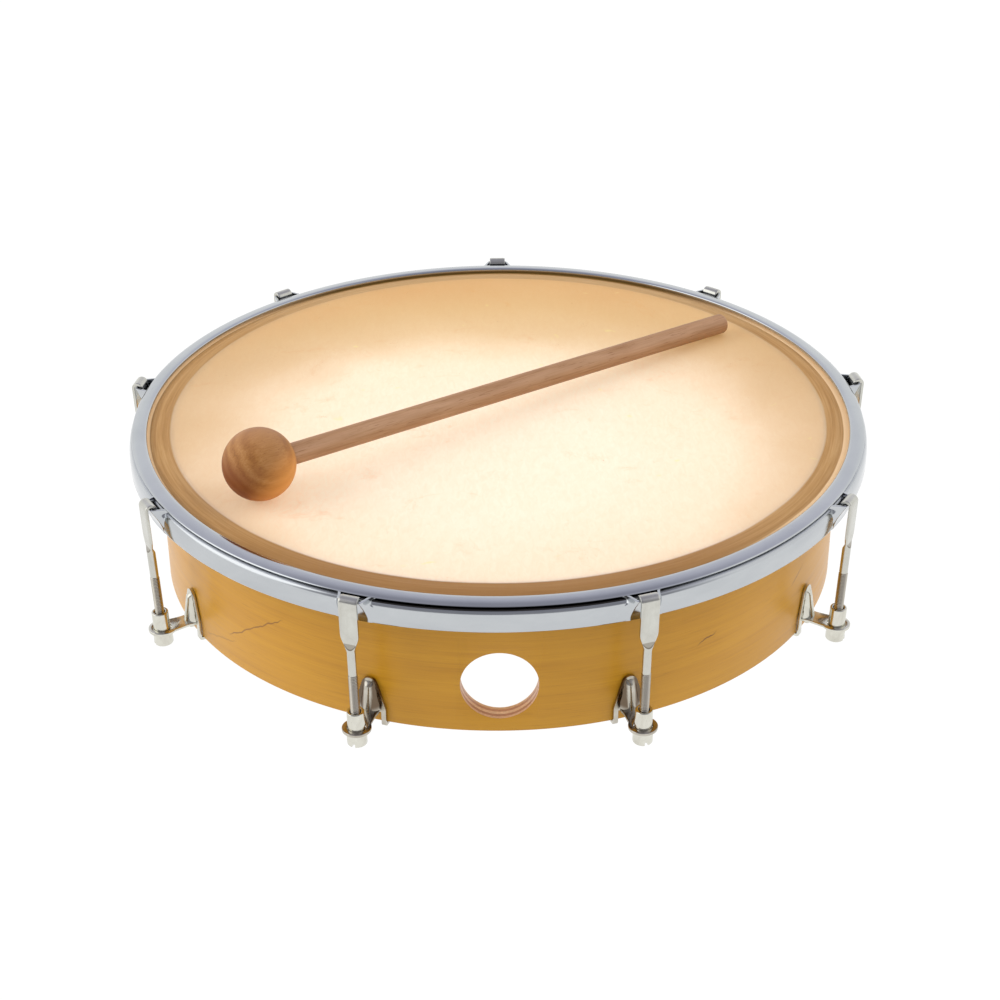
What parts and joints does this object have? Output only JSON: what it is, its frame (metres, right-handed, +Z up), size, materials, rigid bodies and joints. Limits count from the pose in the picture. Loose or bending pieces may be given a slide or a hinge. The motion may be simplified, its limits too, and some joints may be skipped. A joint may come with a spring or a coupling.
{
  "type": "tunable hand drum",
  "caption": "Round frame drum with a natural skin head, metal counter hoop, hook tensioners, a thumb hole in the plywood shell and a wooden ball mallet.",
  "frame": {"origin": "centre of the footprint, on the plane of the bracket feet's undersides; the drum's own axis is 4.1 mm towards -Y of it, because the nine posts are not symmetric front to back", "axes": "+Z up through the skin, -Y towards the thumb hole, +X to the right when the thumb hole faces the viewer"},
  "size_m": [0.329, 0.3258, 0.0961],
  "materials": {
    "plywood": "amber lacquer, semi-gloss",
    "skin": "dry natural hide, translucent",
    "chrome": "bright chrome plate",
    "nickel": "nickel plate",
    "steel_wire": "plain drawn wire",
    "rivet_metal": "plain",
    "beech": "bare sanded",
    "beech_head": "bare sanded, end grain"
  },
  "bodies": {
    "drum": {"shell": "plywood", "counter_hoop": "chrome", "flesh_hoop": "steel_wire", "skin_head": "skin", "bracket_1": "nickel", "bracket_rivet_1": "rivet_metal", "bracket_2": "nickel", "bracket_rivet_2": "rivet_metal", "bracket_3": "nickel", "bracket_rivet_3": "rivet_metal", "bracket_4": "nickel", "bracket_rivet_4": "rivet_metal", "bracket_5": "nickel", "bracket_rivet_5": "rivet_metal", "bracket_6": "nickel", "bracket_rivet_6": "rivet_metal", "bracket_7": "nickel", "bracket_rivet_7": "rivet_metal", "bracket_8": "nickel", "bracket_rivet_8": "rivet_metal", "bracket_9": "nickel", "bracket_rivet_9": "rivet_metal"},
    "nut_1": {"tension_nut_1": "nickel"},
    "hook_1": {"tension_hook_1": "nickel"},
    "nut_2": {"tension_nut_2": "nickel"},
    "hook_2": {"tension_hook_2": "nickel"},
    "nut_3": {"tension_nut_3": "nickel"},
    "hook_3": {"tension_hook_3": "nickel"},
    "nut_4": {"tension_nut_4": "nickel"},
    "hook_4": {"tension_hook_4": "nickel"},
    "nut_5": {"tension_nut_5": "nickel"},
    "hook_5": {"tension_hook_5": "nickel"},
    "nut_6": {"tension_nut_6": "nickel"},
    "hook_6": {"tension_hook_6": "nickel"},
    "nut_7": {"tension_nut_7": "nickel"},
    "hook_7": {"tension_hook_7": "nickel"},
    "nut_8": {"tension_nut_8": "nickel"},
    "hook_8": {"tension_hook_8": "nickel"},
    "nut_9": {"tension_nut_9": "nickel"},
    "hook_9": {"tension_hook_9": "nickel"},
    "mallet": {"mallet_head": "beech_head", "mallet_handle": "beech"}
  },
  "joints": [
    {"name": "nut_1_turn", "type": "hinge", "parent": "drum", "child": "nut_1", "pos_m": [0, 0.1571, 0.0015], "axis": [0, -0.0384, -0.9993], "range_deg": [0, 2520]},
    {"name": "hook_1_slide", "type": "slide", "parent": "drum", "child": "hook_1", "axis": [0, 0.0384, 0.9993], "range_m": [0, 0.0049]},
    {"name": "nut_2_turn", "type": "hinge", "parent": "drum", "child": "nut_2", "pos_m": [-0.10362, 0.11939, 0.0015], "axis": [0.0247, -0.0294, -0.9993], "range_deg": [0, 2520]},
    {"name": "hook_2_slide", "type": "slide", "parent": "drum", "child": "hook_2", "axis": [-0.0247, 0.0294, 0.9993], "range_m": [0, 0.0049]},
    {"name": "nut_3_turn", "type": "hinge", "parent": "drum", "child": "nut_3", "pos_m": [-0.15875, 0.02389, 0.0015], "axis": [0.0378, -0.0067, -0.9993], "range_deg": [0, 2520]},
    {"name": "hook_3_slide", "type": "slide", "parent": "drum", "child": "hook_3", "axis": [-0.0378, 0.0067, 0.9993], "range_m": [0, 0.0049]},
    {"name": "nut_4_turn", "type": "hinge", "parent": "drum", "child": "nut_4", "pos_m": [-0.1396, -0.0847, 0.0015], "axis": [0.0332, 0.0192, -0.9993], "range_deg": [0, 2520]},
    {"name": "hook_4_slide", "type": "slide", "parent": "drum", "child": "hook_4", "axis": [-0.0332, -0.0192, 0.9993], "range_m": [0, 0.0049]},
    {"name": "nut_5_turn", "type": "hinge", "parent": "drum", "child": "nut_5", "pos_m": [-0.05513, -0.15558, 0.0015], "axis": [0.0131, 0.0361, -0.9993], "range_deg": [0, 2520]},
    {"name": "hook_5_slide", "type": "slide", "parent": "drum", "child": "hook_5", "axis": [-0.0131, -0.0361, 0.9993], "range_m": [0, 0.0049]},
    {"name": "nut_6_turn", "type": "hinge", "parent": "drum", "child": "nut_6", "pos_m": [0.05513, -0.15558, 0.0015], "axis": [-0.0131, 0.0361, -0.9993], "range_deg": [0, 2520]},
    {"name": "hook_6_slide", "type": "slide", "parent": "drum", "child": "hook_6", "axis": [0.0131, -0.0361, 0.9993], "range_m": [0, 0.0049]},
    {"name": "nut_7_turn", "type": "hinge", "parent": "drum", "child": "nut_7", "pos_m": [0.1396, -0.0847, 0.0015], "axis": [-0.0332, 0.0192, -0.9993], "range_deg": [0, 2520]},
    {"name": "hook_7_slide", "type": "slide", "parent": "drum", "child": "hook_7", "axis": [0.0332, -0.0192, 0.9993], "range_m": [0, 0.0049]},
    {"name": "nut_8_turn", "type": "hinge", "parent": "drum", "child": "nut_8", "pos_m": [0.15875, 0.02389, 0.0015], "axis": [-0.0378, -0.0067, -0.9993], "range_deg": [0, 2520]},
    {"name": "hook_8_slide", "type": "slide", "parent": "drum", "child": "hook_8", "axis": [0.0378, 0.0067, 0.9993], "range_m": [0, 0.0049]},
    {"name": "nut_9_turn", "type": "hinge", "parent": "drum", "child": "nut_9", "pos_m": [0.10362, 0.11939, 0.0015], "axis": [-0.0247, -0.0294, -0.9993], "range_deg": [0, 2520]},
    {"name": "hook_9_slide", "type": "slide", "parent": "drum", "child": "hook_9", "axis": [0.0247, 0.0294, 0.9993], "range_m": [0, 0.0049]},
    {"name": "mallet_lift", "type": "slide", "parent": "drum", "child": "mallet", "axis": [0, 0, 1], "range_m": [0, 0.12]}
  ],
  "couplings": [
    {"joint": "nut_1_turn", "follows": "hook_1_slide", "rad_per_m": 8976},
    {"joint": "nut_2_turn", "follows": "hook_2_slide", "rad_per_m": 8976},
    {"joint": "nut_3_turn", "follows": "hook_3_slide", "rad_per_m": 8976},
    {"joint": "nut_4_turn", "follows": "hook_4_slide", "rad_per_m": 8976},
    {"joint": "nut_5_turn", "follows": "hook_5_slide", "rad_per_m": 8976},
    {"joint": "nut_6_turn", "follows": "hook_6_slide", "rad_per_m": 8976},
    {"joint": "nut_7_turn", "follows": "hook_7_slide", "rad_per_m": 8976},
    {"joint": "nut_8_turn", "follows": "hook_8_slide", "rad_per_m": 8976},
    {"joint": "nut_9_turn", "follows": "hook_9_slide", "rad_per_m": 8976}
  ]
}
